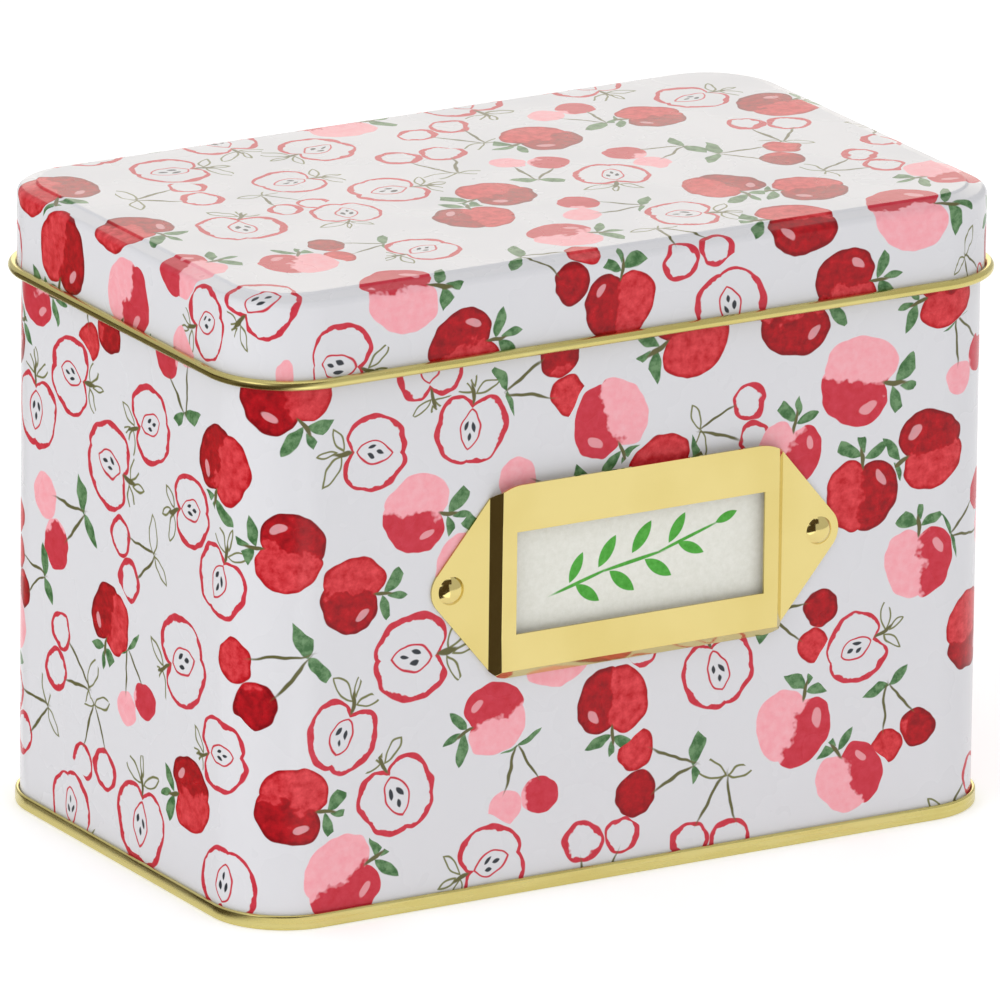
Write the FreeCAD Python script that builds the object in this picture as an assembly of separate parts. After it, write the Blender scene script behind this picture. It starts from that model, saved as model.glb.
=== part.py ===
import FreeCAD, Part
import math
import os

from FreeCAD import Vector

os.makedirs("parts", exist_ok=True)

# Recipe tin in millimetres.
# +Z is up, the front with the card holder faces -Y, and the origin is the middle of the
# ring that the tin stands on. "Outward" is measured from the outer face of the printed
# wall, and "height" from the surface that the tin stands on.

# Body of the tin
BODY_WIDTH = 170.0
BODY_DEPTH = 105.0
CORNER_RADIUS = 15.0
TIN_HEIGHT = 127.0
SHEET = 0.28
RIM_CURL = 2.2
RIM_CURL_GAP = 0.05
SIDE_SEAM_WIDTH = 6.0
SIDE_SEAM_LAYERS = 3
SIDE_SEAM_INSET = 0.8
SIDE_SEAM_GROOVE = 0.3
SIDE_SEAM_GROOVE_DEPTH = 0.1

# Bottom double seam, five layers of sheet folded into each other
SEAM_HEIGHT = 3.0
SEAM_LAYER_GAP = 0.04
SEAM_FOOT_RADIUS = 0.4
SEAM_TUCK = 0.15
FLOOR_HEIGHT = 3.5
FLOOR_BEND = 0.8
BEAD_RISE = 0.6
BEAD_INSET = 8.0
BEAD_BEND = 0.6
BEAD_SLOPE = 45.0
PLATE_LAP = 2.0

# Lid
LID_DEPTH = 17.3
LID_PLAY = 0.65
LID_SEAT_GAP = 0.15
LID_CURL = 2.0
LID_EDGE_RADIUS = 1.5
LID_SHOULDER = 2.4
LID_STEP_RISE = 0.9
LID_STEP_BEND = 0.5
LID_STEP_SLOPE = 50.0
LID_SHOULDER_FALL = 12.0

# Card holder on the front wall
HOLDER_MIDDLE_HEIGHT = 64.2
HOLDER_SHEET = 0.5
HOLDER_STAND_OFF = 1.9
HOLDER_FACE_WIDTH = 62.4
HOLDER_FACE_ABOVE = 19.9
HOLDER_FACE_BELOW = 17.6
HOLDER_TOP_ARC = 9.5
HOLDER_FOOT_ARC = 6.0
HOLDER_BEND = 0.4
WINDOW_WIDTH = 56.2
WINDOW_HEIGHT = 20.8
EAR_HEIGHT = 35.0
EAR_REACH = 13.0
EAR_TIP_RADIUS = 5.2

# Rivets
RIVET_TO_TIP = 4.4
RIVET_SHANK = 2.4
RIVET_HOLE_PLAY = 0.05
RIVET_HEAD = 5.7
RIVET_HEAD_RISE = 1.35
RIVET_TAIL = 4.2
RIVET_TAIL_RISE = 0.6

# Label card
CARD_THICKNESS = 0.35
CARD_WALL_GAP = 0.1
CARD_SIDE_PLAY = 0.3
CARD_BELOW_TOP = 2.2

# Heights and outward places that follow from the sizes above
WALL_MIDDLE = -SHEET / 2
LAYER_PITCH = SHEET + SEAM_LAYER_GAP
CHUCK_MIDDLE = WALL_MIDDLE - LAYER_PITCH
BODY_HOOK_MIDDLE = WALL_MIDDLE + 2 * LAYER_PITCH
SEAM_WALL_MIDDLE = WALL_MIDDLE + 3 * LAYER_PITCH
BODY_TURN_HEIGHT = SHEET / 2 + 2 * LAYER_PITCH
SEAM_TURN_HEIGHT = SEAM_HEIGHT - SHEET / 2 - LAYER_PITCH
RIM_TOP = TIN_HEIGHT - SHEET - LID_SEAT_GAP
SKIRT_MIDDLE = LID_PLAY + SHEET / 2
FRONT = -BODY_DEPTH / 2
HOLDER_FRONT = HOLDER_SHEET + HOLDER_STAND_OFF
HOLDER_TOP = HOLDER_MIDDLE_HEIGHT + HOLDER_FACE_ABOVE
FOLD_HALF = HOLDER_FACE_WIDTH / 2 + HOLDER_STAND_OFF
TIP_HALF = FOLD_HALF + EAR_REACH
SLOPE_THICKNESS = HOLDER_SHEET * (math.sqrt(2) - 1)


class FormedSheet:
    """The section of a bent sheet, drawn along its middle line as outward and height."""

    def __init__(self, outward, height, heading):
        self.place = Vector(outward, 0, height)
        self.heading = math.radians(heading)
        self.near_side = []
        self.far_side = []

    def across(self):
        return Vector(-math.sin(self.heading), 0, math.cos(self.heading))

    def run(self, length):
        ahead = Vector(math.cos(self.heading), 0, math.sin(self.heading))
        end = self.place + ahead * length
        half = self.across() * (SHEET / 2)
        self.near_side.append(Part.LineSegment(self.place + half, end + half).toShape())
        self.far_side.append(Part.LineSegment(self.place - half, end - half).toShape())
        self.place = end
        return self

    def run_to_outward(self, outward):
        return self.run(abs(outward - self.place.x))

    def run_to_height(self, height):
        return self.run(abs(height - self.place.z))

    def bend(self, radius, degrees):
        """Turn left for positive degrees, right for negative ones."""
        hand = math.copysign(1.0, degrees)
        centre = self.place + self.across() * (hand * radius)
        spoke = self.place - centre
        turn = math.radians(degrees)

        def arc(at_radius):
            points = [centre + turned(spoke, turn * part) * (at_radius / radius) for part in (0, 0.5, 1)]
            return Part.Arc(*points).toShape()

        self.near_side.append(arc(radius - hand * SHEET / 2))
        self.far_side.append(arc(radius + hand * SHEET / 2))
        self.place = centre + turned(spoke, turn)
        self.heading += turn
        return self

    def step_down(self, fall, bend_radius, slope):
        """Two opposite bends that bring the sheet to a lower level while it heads outward."""
        tilt = math.radians(slope)
        length = (fall - 2 * bend_radius * (1 - math.cos(tilt))) / math.sin(tilt)
        return self.bend(bend_radius, -slope).run(length).bend(bend_radius, slope)

    def face(self):
        first, last = self.near_side[0].firstVertex(), self.near_side[-1].lastVertex()
        other_first, other_last = self.far_side[0].firstVertex(), self.far_side[-1].lastVertex()
        caps = [
            Part.LineSegment(first.Point, other_first.Point).toShape(),
            Part.LineSegment(last.Point, other_last.Point).toShape(),
        ]
        return Part.Face(Part.Wire(Part.__sortEdges__(self.near_side + self.far_side + caps)))


def turned(vector, angle):
    """A vector in the section's plane, turned from outward towards up."""
    cos, sin = math.cos(angle), math.sin(angle)
    return Vector(vector.x * cos - vector.z * sin, 0, vector.x * sin + vector.z * cos)


def curl_sweep(diameter, end_gap):
    """How far a sheet is rolled until its edge comes back to the wall it started from."""
    outer = diameter / 2
    middle = outer - SHEET / 2
    return 360.0 - math.degrees(math.acos((middle - SHEET / 2 - end_gap) / outer))


def around_the_tin(section):
    """Carry a section round the four sides and the four corners of the tin."""
    corner_x = BODY_WIDTH / 2 - CORNER_RADIUS
    corner_y = BODY_DEPTH / 2 - CORNER_RADIUS
    corners = [(corner_x, corner_y), (-corner_x, corner_y), (-corner_x, -corner_y), (corner_x, -corner_y)]
    sides = [Vector(-2 * corner_x, 0, 0), Vector(0, -2 * corner_y, 0)]
    sides += [Vector(2 * corner_x, 0, 0), Vector(0, 2 * corner_y, 0)]
    up = Vector(0, 0, 1)
    pieces = []
    for index, (x, y) in enumerate(corners):
        placed = section.copy()
        placed.translate(Vector(CORNER_RADIUS, 0, 0))
        placed.rotate(Vector(0, 0, 0), up, 90.0 * index)
        placed.translate(Vector(x, y, 0))
        pieces.append(placed.revolve(Vector(x, y, 0), up, 90.0))
        placed.rotate(Vector(x, y, 0), up, 90.0)
        pieces.append(placed.extrude(sides[index]))
    return pieces[0].multiFuse(pieces[1:]).removeSplitter()


def rounded_plate(outward, bottom, thickness):
    """A flat plate with the tin's outline, drawn in or out by a distance."""
    half_x, half_y = BODY_WIDTH / 2 + outward, BODY_DEPTH / 2 + outward
    block = Part.makeBox(2 * half_x, 2 * half_y, thickness, Vector(-half_x, -half_y, bottom))
    upright = [edge for edge in block.Edges if abs(edge.tangentAt(edge.FirstParameter).z) > 0.9]
    return block.makeFillet(CORNER_RADIUS + outward, upright)


def front_prism(wire, thickness):
    """Extrude a wire that is drawn in the wall's plane forwards from the front wall."""
    face = Part.Face(wire)
    face.translate(Vector(0, FRONT, 0))
    return face.extrude(Vector(0, -thickness, 0))


def rivet_places():
    reach = TIP_HALF - RIVET_TO_TIP
    return [Vector(side * reach, FRONT, HOLDER_MIDDLE_HEIGHT) for side in (-1, 1)]


def rivet_holes():
    reach = 2 * (SHEET + HOLDER_SHEET)
    radius = RIVET_SHANK / 2 + RIVET_HOLE_PLAY
    start = Vector(0, reach, 0)
    return [Part.makeCylinder(radius, 2 * reach, place + start, Vector(0, -1, 0)) for place in rivet_places()]


def side_seam():
    """The folded lock seam that joins the two ends of the wall, a strip inside the back wall."""
    bottom = FLOOR_HEIGHT + SHEET + SIDE_SEAM_INSET
    top = RIM_TOP - RIM_CURL - SIDE_SEAM_INSET
    depth = SIDE_SEAM_LAYERS * SHEET
    back = BODY_DEPTH / 2 - SHEET / 2
    strip = Part.makeBox(
        SIDE_SEAM_WIDTH, depth + SHEET / 2, top - bottom,
        Vector(-SIDE_SEAM_WIDTH / 2, back - depth - SHEET / 2, bottom),
    )
    inner = [edge for edge in strip.Edges if edge.BoundBox.YMax < back - depth]
    upright = [edge for edge in inner if edge.BoundBox.ZLength > SIDE_SEAM_WIDTH]
    return strip.makeChamfer(SHEET, upright)


def side_seam_groove():
    bottom = SEAM_HEIGHT
    top = RIM_TOP - RIM_CURL
    return Part.makeBox(
        SIDE_SEAM_GROOVE, 2 * SIDE_SEAM_GROOVE_DEPTH, top - bottom,
        Vector(SIDE_SEAM_WIDTH / 2 - SIDE_SEAM_GROOVE, BODY_DEPTH / 2 - SIDE_SEAM_GROOVE_DEPTH, bottom),
    )


def body_wall():
    """Printed wall: a hook at the foot for the bottom seam and an inward curl for the rim."""
    curl_middle = (RIM_CURL - SHEET) / 2
    section = FormedSheet(BODY_HOOK_MIDDLE, SEAM_TURN_HEIGHT - SEAM_TUCK, heading=-90)
    section.run_to_height(BODY_TURN_HEIGHT)
    section.bend(LAYER_PITCH, -180)
    section.run_to_height(RIM_TOP - RIM_CURL / 2)
    section.bend(curl_middle, curl_sweep(RIM_CURL, RIM_CURL_GAP))
    wall = around_the_tin(section.face())
    wall = wall.cut(side_seam_groove()).fuse(side_seam())
    return wall.cut(Part.makeCompound(rivet_holes())).removeSplitter()


def base_panel():
    """Sunk floor with a stiffening bead, whose edge folds round the wall's hook."""
    bead_start = CHUCK_MIDDLE - BEAD_INSET
    middle_height = FLOOR_HEIGHT + SHEET / 2
    section = FormedSheet(bead_start - PLATE_LAP, middle_height + BEAD_RISE, heading=0)
    section.run_to_outward(bead_start)
    section.step_down(BEAD_RISE, BEAD_BEND, BEAD_SLOPE)
    section.run_to_outward(CHUCK_MIDDLE - FLOOR_BEND)
    section.bend(FLOOR_BEND, -90)
    section.run_to_height(SHEET / 2 + SEAM_FOOT_RADIUS)
    section.bend(SEAM_FOOT_RADIUS, 90)
    section.run_to_outward(SEAM_WALL_MIDDLE - SEAM_FOOT_RADIUS)
    section.bend(SEAM_FOOT_RADIUS, 90)
    section.run_to_height(SEAM_TURN_HEIGHT)
    section.bend(LAYER_PITCH, 180)
    section.run_to_height(BODY_TURN_HEIGHT + SEAM_TUCK)
    rim = around_the_tin(section.face())
    plate = rounded_plate(bead_start - PLATE_LAP, FLOOR_HEIGHT + BEAD_RISE, SHEET)
    return rim.fuse(plate).removeSplitter()


def lid():
    """Pressed lid: raised panel, a shoulder that falls outward, skirt, and the edge rolled outwards."""
    curl_middle = (LID_CURL - SHEET) / 2
    edge_bend = LID_EDGE_RADIUS - SHEET / 2
    middle_height = TIN_HEIGHT - SHEET / 2
    fall, steep = math.radians(LID_SHOULDER_FALL), math.radians(LID_STEP_SLOPE)
    edge_start = SKIRT_MIDDLE - edge_bend * (1 - math.sin(fall))
    edge_height = middle_height - edge_bend * (1 - math.cos(fall))
    step_foot = edge_height + LID_SHOULDER * math.tan(fall)
    bends_fall = LID_STEP_BEND * (1 + math.cos(fall) - 2 * math.cos(steep))
    slope = (middle_height + LID_STEP_RISE - step_foot - bends_fall) / math.sin(steep)
    step_width = LID_STEP_BEND * (2 * math.sin(steep) - math.sin(fall)) + slope * math.cos(steep)
    panel_edge = edge_start - LID_SHOULDER - step_width
    section = FormedSheet(panel_edge - PLATE_LAP, middle_height + LID_STEP_RISE, heading=0)
    section.run_to_outward(panel_edge)
    section.bend(LID_STEP_BEND, -LID_STEP_SLOPE).run(slope)
    section.bend(LID_STEP_BEND, LID_STEP_SLOPE - LID_SHOULDER_FALL)
    section.run(LID_SHOULDER / math.cos(fall))
    section.bend(edge_bend, LID_SHOULDER_FALL - 90)
    section.run_to_height(TIN_HEIGHT - LID_DEPTH + LID_CURL / 2)
    section.bend(curl_middle, curl_sweep(LID_CURL, RIM_CURL_GAP))
    rim = around_the_tin(section.face())
    plate = rounded_plate(panel_edge - PLATE_LAP, TIN_HEIGHT + LID_STEP_RISE - SHEET, SHEET)
    return rim.fuse(plate).removeSplitter()


def on_holder(x, height):
    """A point in the wall's plane, measured from the middle of the card holder."""
    return Vector(x, 0, HOLDER_MIDDLE_HEIGHT + height)


def holder_rectangle(half_width, bottom, top):
    corners = [(-half_width, bottom), (half_width, bottom), (half_width, top), (-half_width, top)]
    points = [on_holder(*corner) for corner in corners]
    return Part.makePolygon(points + points[:1])


def tray(half_width, bottom, top, depth):
    """A block that stands on the wall, with slopes of 45 degrees at its sides and its foot."""
    foot = holder_rectangle(half_width + depth, bottom - depth, top)
    face = holder_rectangle(half_width, bottom, top)
    foot.translate(Vector(0, FRONT, 0))
    face.translate(Vector(0, FRONT - depth, 0))
    return Part.makeLoft([foot, face], True, True)


def tray_blank():
    """Outline that the tray was cut to: round corners that run on into the ears."""
    half_ear = EAR_HEIGHT / 2
    top, foot = HOLDER_FACE_ABOVE, -HOLDER_FACE_BELOW - HOLDER_FRONT

    def corner(side, level, radius):
        drop = abs(level) - half_ear
        inward = math.sqrt(radius ** 2 - (radius - drop) ** 2)
        up = math.copysign(1.0, level)
        start = on_holder(side * (FOLD_HALF - inward), level)
        middle_angle = math.asin(inward / radius) / 2
        middle = on_holder(
            side * (FOLD_HALF - inward + radius * math.sin(middle_angle)),
            level - up * radius * (1 - math.cos(middle_angle)),
        )
        return start, middle, on_holder(side * FOLD_HALF, up * half_ear)

    upper_left, upper_right = [corner(side, top, HOLDER_TOP_ARC) for side in (-1, 1)]
    lower_left, lower_right = [corner(side, foot, HOLDER_FOOT_ARC) for side in (-1, 1)]
    edges = [Part.Arc(*points).toShape() for points in (upper_left, upper_right, lower_left, lower_right)]
    edges.append(Part.LineSegment(upper_left[0], upper_right[0]).toShape())
    edges.append(Part.LineSegment(lower_left[0], lower_right[0]).toShape())
    edges.append(Part.LineSegment(upper_left[2], lower_left[2]).toShape())
    edges.append(Part.LineSegment(upper_right[2], lower_right[2]).toShape())
    return Part.Wire(Part.__sortEdges__(edges))


def pressed_tray():
    """Outside of the tray, with the bends at its sides, its foot and its lower corners."""
    block = tray(HOLDER_FACE_WIDTH / 2, -HOLDER_FACE_BELOW, HOLDER_FACE_ABOVE, HOLDER_FRONT)
    face_level = FRONT - HOLDER_FRONT

    def bent(edge):
        box = edge.BoundBox
        at_face = box.YMin < face_level + HOLDER_BEND
        at_top = box.ZMin > HOLDER_TOP - HOLDER_BEND
        at_wall = box.YMax > FRONT - HOLDER_BEND and box.YLength < HOLDER_BEND
        return at_face and not at_top and not at_wall

    return block.makeFillet(HOLDER_BEND, [edge for edge in block.Edges if bent(edge)])


def ear_outline(side):
    """Outline of one ear with its round tip, from the tray's side outwards."""
    tip_centre = TIP_HALF - EAR_TIP_RADIUS
    run, half = tip_centre - FOLD_HALF, EAR_HEIGHT / 2
    reach = math.hypot(run, half)
    angle = math.atan2(half, run) - math.asin(EAR_TIP_RADIUS / reach)
    touch = Vector(tip_centre + EAR_TIP_RADIUS * math.sin(angle), 0, EAR_TIP_RADIUS * math.cos(angle))
    tip = Vector(TIP_HALF, 0, 0)
    corner = Vector(FOLD_HALF, 0, half)

    def mirrored(point, up):
        return on_holder(side * point.x, up * point.z)

    points = [mirrored(corner, 1), mirrored(touch, 1), mirrored(tip, 1), mirrored(touch, -1), mirrored(corner, -1)]
    edges = [
        Part.LineSegment(points[0], points[1]).toShape(),
        Part.Arc(points[1], points[2], points[3]).toShape(),
        Part.LineSegment(points[3], points[4]).toShape(),
        Part.LineSegment(points[4], points[0]).toShape(),
    ]
    return Part.Wire(edges)


def label_holder():
    """Pressed plate: a raised tray that is open at its top, a window, and an ear at each side."""
    outside = pressed_tray().common(front_prism(tray_blank(), HOLDER_FRONT))
    ears = [front_prism(ear_outline(side), HOLDER_SHEET) for side in (-1, 1)]
    inside = tray(
        HOLDER_FACE_WIDTH / 2 - SLOPE_THICKNESS, -HOLDER_FACE_BELOW + SLOPE_THICKNESS,
        HOLDER_FACE_ABOVE + HOLDER_SHEET, HOLDER_STAND_OFF,
    )
    window = holder_rectangle(WINDOW_WIDTH / 2, -WINDOW_HEIGHT / 2, WINDOW_HEIGHT / 2)
    plate = outside.multiFuse(ears).cut(inside).cut(front_prism(window, 2 * HOLDER_FRONT))
    return plate.cut(Part.makeCompound(rivet_holes())).removeSplitter()


def rivet(place):
    """Domed head on the ear, shank through ear and wall, spread tail inside the tin."""
    head_radius, tail_radius, shank_radius = RIVET_HEAD / 2, RIVET_TAIL / 2, RIVET_SHANK / 2
    dome = (head_radius ** 2 + RIVET_HEAD_RISE ** 2) / (2 * RIVET_HEAD_RISE)
    ball = Part.makeSphere(dome, Vector(0, 0, HOLDER_SHEET + RIVET_HEAD_RISE - dome))
    keep = Part.makeCylinder(2 * head_radius, RIVET_HEAD_RISE, Vector(0, 0, HOLDER_SHEET))
    head = ball.common(keep)
    shank = Part.makeCylinder(shank_radius, 2 * SHEET + HOLDER_SHEET, Vector(0, 0, -2 * SHEET))
    tail = Part.makeCylinder(tail_radius, RIVET_TAIL_RISE, Vector(0, 0, -SHEET - RIVET_TAIL_RISE))
    end = [edge for edge in tail.Edges if edge.BoundBox.ZMax < -SHEET - RIVET_TAIL_RISE / 2]
    tail = tail.makeFillet(RIVET_TAIL_RISE / 2, end)
    body = head.multiFuse([shank, tail]).removeSplitter()
    body.rotate(Vector(0, 0, 0), Vector(1, 0, 0), 90)
    body.translate(place)
    return body


def label_card():
    """Stiff card that stands in the holder's pocket, between the wall and the tray."""
    depth_left = HOLDER_STAND_OFF - CARD_WALL_GAP - CARD_THICKNESS
    inset = SLOPE_THICKNESS - depth_left + CARD_SIDE_PLAY
    half = HOLDER_FACE_WIDTH / 2 - inset
    bottom = HOLDER_MIDDLE_HEIGHT - HOLDER_FACE_BELOW + inset
    return Part.makeBox(
        2 * half, CARD_THICKNESS, HOLDER_TOP - CARD_BELOW_TOP - bottom,
        Vector(-half, FRONT - CARD_WALL_GAP - CARD_THICKNESS, bottom),
    )


left_rivet, right_rivet = [rivet(place) for place in rivet_places()]

NODES = {
    "body_wall": body_wall(),
    "base_panel": base_panel(),
    "lid": lid(),
    "label_holder": label_holder(),
    "rivet_left": left_rivet,
    "rivet_right": right_rivet,
    "label_card": label_card(),
}

for name, shape in NODES.items():
    solids = shape.Solids
    solid = solids[0] if len(solids) == 1 else shape
    solid.exportStep("parts/" + name + ".step")
    print(name, len(solids), solid.isValid(), round(solid.Volume, 1))
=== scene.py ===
import math

import bpy
from bpy.props import FloatProperty, FloatVectorProperty, PointerProperty
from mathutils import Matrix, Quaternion, Vector


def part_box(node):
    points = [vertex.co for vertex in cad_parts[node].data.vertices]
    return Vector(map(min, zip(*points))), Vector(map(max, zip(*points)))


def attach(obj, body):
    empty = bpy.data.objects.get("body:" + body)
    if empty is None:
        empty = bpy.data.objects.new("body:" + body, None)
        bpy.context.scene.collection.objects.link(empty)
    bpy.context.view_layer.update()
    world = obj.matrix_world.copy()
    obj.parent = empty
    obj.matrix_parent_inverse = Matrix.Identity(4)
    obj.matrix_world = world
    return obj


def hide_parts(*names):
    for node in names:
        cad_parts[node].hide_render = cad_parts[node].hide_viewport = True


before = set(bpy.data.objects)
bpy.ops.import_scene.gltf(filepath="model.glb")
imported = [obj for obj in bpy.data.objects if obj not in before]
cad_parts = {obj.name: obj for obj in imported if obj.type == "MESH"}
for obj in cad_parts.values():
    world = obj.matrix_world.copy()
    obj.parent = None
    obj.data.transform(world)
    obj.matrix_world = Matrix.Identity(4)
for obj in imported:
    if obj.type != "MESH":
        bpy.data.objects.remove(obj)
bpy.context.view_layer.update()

bl_info = {
    "name": "Recipe Tin",
    "version": (1, 0, 0),
    "blender": (4, 5, 0),
    "location": "3D View > Sidebar > Recipe Tin",
    "description": "Builds a printed recipe tin with a slip lid and a riveted card holder",
    "category": "Object",
}

MM = 0.001

# Bends are laid in steps of about this angle, and each corner of the tin in this many steps.
BEND_STEP = math.radians(12)
CORNER_STEPS = 20
MERGE_DISTANCE = 0.002 * MM
FRAME_TOLERANCE = 0.12 * MM
PLATE_EDGE_REACH = 0.05 * MM
SMOOTH_BELOW = math.radians(32)
SHARP_EDGE = math.radians(60)
LYING_FLAT = 0.5

# Gaps between the tin's sheets, and how far the hooks stop short of the seam's two turns
SEAM_LAYER_GAP = 0.04 * MM
SEAM_TUCK = 0.15 * MM
CURL_END_GAP = 0.05 * MM
LID_SEAT_GAP = 0.15 * MM

# Floor inside the foot seam
FLOOR_BEND = 0.8 * MM
BEAD_RISE = 0.6 * MM
BEAD_INSET = 8 * MM
BEAD_BEND = 0.6 * MM
BEAD_SLOPE = 45

# Lock seam inside the back wall
SIDE_SEAM_WIDTH = 6 * MM
SIDE_SEAM_LAYERS = 3
SIDE_SEAM_INSET = 0.8 * MM
SIDE_SEAM_EDGE = 0.2 * MM
SIDE_SEAM_SINK = 0.05 * MM
SIDE_SEAM_GROOVE = 0.3 * MM
SIDE_SEAM_GROOVE_DEPTH = 0.1 * MM
SIDE_SEAM_JOINT = (SIDE_SEAM_WIDTH - SIDE_SEAM_GROOVE) / 2

# Lid's edge: the panel steps down to a shoulder that falls outward
LID_STEP_BEND = 0.5 * MM
LID_STEP_SLOPE = 50
LID_SHOULDER_FALL = 12

# Card holder and rivets
HOLDER_BLANK = 120 * MM
HOLDER_TOP_ARC = 9.5 * MM
HOLDER_FOOT_ARC = 6 * MM
HOLDER_BEND = 0.35 * MM
HOLDER_FOOT_BEND = 1.1 * MM
HOLDER_EDGE_SOFTENING = 0.08 * MM
OUTLINE_STEPS = 8
CUT_THRESHOLD = 1e-7
DEPTH_DIGITS = 7
RIVET_TO_TIP = 4.4 * MM
RIVET_SHANK = 2.4 * MM
RIVET_TAIL = 4.2 * MM
RIVET_TAIL_RISE = 0.6 * MM
RIVET_STEPS = 48
DOME_STEPS = 10
TAIL_STEPS = 4

# Label card
CARD_CORNER = 1.2 * MM
CARD_EDGE_SOFTENING = 0.05 * MM

# Kinds of node
MATH = "ShaderNodeMath"
VECTOR = "ShaderNodeVectorMath"
MAPPING = "ShaderNodeMapping"
RANGE = "ShaderNodeMapRange"
MIX = "ShaderNodeMix"
NOISE = "ShaderNodeTexNoise"
VORONOI = "ShaderNodeTexVoronoi"
BUMP = "ShaderNodeBump"
PLACE = "ShaderNodeTexCoord"
SPLIT = "ShaderNodeSeparateXYZ"

# A noise keeps mostly within the first of these, a slow one within the second, and the sum of
# two within the third.
NOISE_SPREAD = (0.3, 0.7)
SOFT_NOISE_SPREAD = (0.35, 0.65)
TWO_NOISES_SPREAD = (0.75, 1.25)

# Finishes: real sizes of their patterns, how far these raise the surface, and roughness. Rolling
# marks, polishing lines and fibres are finer on the real sheets, and are drawn as coarse as they
# need to show. The varnish bends light less than a real one, which is about 1.5, for the soft
# reflections that the walls show.
VARNISH_HAZE = 16.7 * MM
VARNISH_ROUGHNESS = (0.24, 0.32)
VARNISH_IOR = 1.33
WALL_WAVER = 71.4 * MM
WALL_WAVER_RISE = 0.12 * MM
ROLLING_MARKS = 0.667 * MM
ROLLING_MARKS_RISE = 0.004 * MM
ROLLED_OUT = 0.04
LACQUER_CLOUD = 22.2 * MM
LACQUER_ROUGHNESS = (0.2, 0.32)
POLISHING_LINES = 0.4 * MM
POLISHED_OUT = 0.03
BRASS_CLOUD = 20 * MM
BRASS_ROUGHNESS = (0.09, 0.17)
BRASS_WAVER = 33.3 * MM
BRASS_WAVER_RISE = 0.03 * MM
CARD_FIBRES = 1.11 * MM
CARD_FIBRES_RISE = 0.02 * MM
CARD_ROUGHNESS = 0.85

# Print, in millimetres on the flat sheet
FRUIT_SPACING = 20.5
SMALLEST_FRUIT = 0.96
LARGEST_FRUIT = 1.32
LEAST_ROOM = 0.3
MOST_ROOM = 0.5
TOSS = 0.42
LAYOUT_START = (3.2, 1.7, 0)
MOST_LEAN = math.radians(26)
HAND_SHAKE = 5.0
HAND_WOBBLE = 2.0
INK_EDGE = 0.09
CHERRY_FROM = 0.66
WASHED_BELOW = 0.28
OUTLINED_FROM = 0.66
CLOUD = 6.25
GRAIN = 2.0
LEAF_GRAIN = (0.4, 0.6)
RIM_POOL = 0.8
RIM_POOL_TONE = (-0.02, 0.14)
GRAIN_TONE = 0.5
SECOND_WASH_TONE = 0.17
RED_STOPS = (0.28, 0.46, 0.66)
WASH_LINE_STRAY = 10.0
WASH_LINE_PLACE = -4.6
WASH_LINE_EDGE = 0.35
APPLE_SIZE = 8.0
APPLE_RADII = (
    (0.0, 0.6), (0.06, 0.7), (0.16, 0.86), (0.3, 0.92), (0.45, 0.9), (0.62, 0.86), (0.8, 0.85),
    (0.92, 0.83), (1.0, 0.76),
)
GLINT = ((-3.7, 2.9), 0.95, 1.5, 0.75)
GLINT_SHARE = 0.55
APPLE_CORE = ((0.0, 0.1), math.pi / 2, 3.6, 2.2)
APPLE_PIPS = (
    ((-0.75, 0.5), 1.25, 0.85, 0.4), ((0.8, 0.7), 1.9, 0.85, 0.4), ((0.05, -1.1), 1.6, 0.75, 0.36),
)
APPLE_STALK = ((0.1, 4.4), (0.8, 8.3), 0.8)
APPLE_LEAVES = (
    ((3.5, 8.0), 0.45, 3.3, 1.3), ((-2.2, 7.6), 2.6, 2.7, 1.0), ((0.6, 9.3), 1.35, 2.0, 0.7),
)
CHERRIES = (((-3.4, -3.0), 0.3, 4.0, 3.7), ((4.0, -4.3), -0.3, 3.6, 3.35))
CHERRY_STALKS = (((-3.2, 0.2), (1.0, 7.6), 0.6), ((3.8, -1.4), (1.2, 7.7), 0.6))
CHERRY_LEAVES = (((4.4, 7.5), 0.12, 3.6, 1.45), ((-1.7, 8.4), 2.7, 2.9, 1.1))
FLECK_SPACING = 2.4
FLECK_LENGTH = 0.85
FLECK_WIDTH = 0.42
FLECK_TURN = 1.3
FLECK_TOSS = 0.7
FLECK_INSET = (1.1, 1.4)
BRUSH_LINE = (0.45, 1.3)
PEN_LINE = 0.34

# Sprig on the label card, in millimetres from the middle of the holder's window
SPRIG_STEM = (
    ((-19.0, -4.2), (-6.0, -0.6), 0.75), ((-8.5, -1.2), (6.5, 1.2), 0.8), ((4.0, 0.7), (18.5, 5.2), 0.7),
)
SPRIG_LEAVES = (
    ((-13.6, 0.6), 1.1, 3.3, 1.15), ((-11.0, -4.9), -0.65, 3.4, 1.2), ((-6.6, 2.9), 1.0, 3.6, 1.3),
    ((-3.2, -3.6), -0.7, 3.7, 1.35), ((1.2, 4.7), 0.95, 3.7, 1.35), ((5.0, -2.1), -0.6, 3.7, 1.3),
    ((9.2, 5.4), 1.0, 3.4, 1.2), ((12.4, 0.9), -0.45, 3.3, 1.1), ((20.4, 6.0), 0.35, 2.6, 0.95),
)

# Studio
FLOOR_SIZE = 12
FLOOR_GLOW = 0.4
FLOOR_ROUGHNESS = 0.9
HORIZON_LIGHT = 0.65
ZENITH_LIGHT = 0.68

# Place, size, power and colour of each softbox
SOFTBOXES = (
    ("softbox_behind", (1.04, 1.82, 0.66), 1.15, 5.6, (1.0, 0.92, 0.8)),
    ("softbox_left", (-1.8, -0.5, 0.85), 1.2, 8.2, (1.0, 1.0, 1.0)),
    ("softbox_above", (0.0, -0.7, 2.2), 1.6, 4.0, (1.0, 1.0, 1.0)),
)

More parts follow.
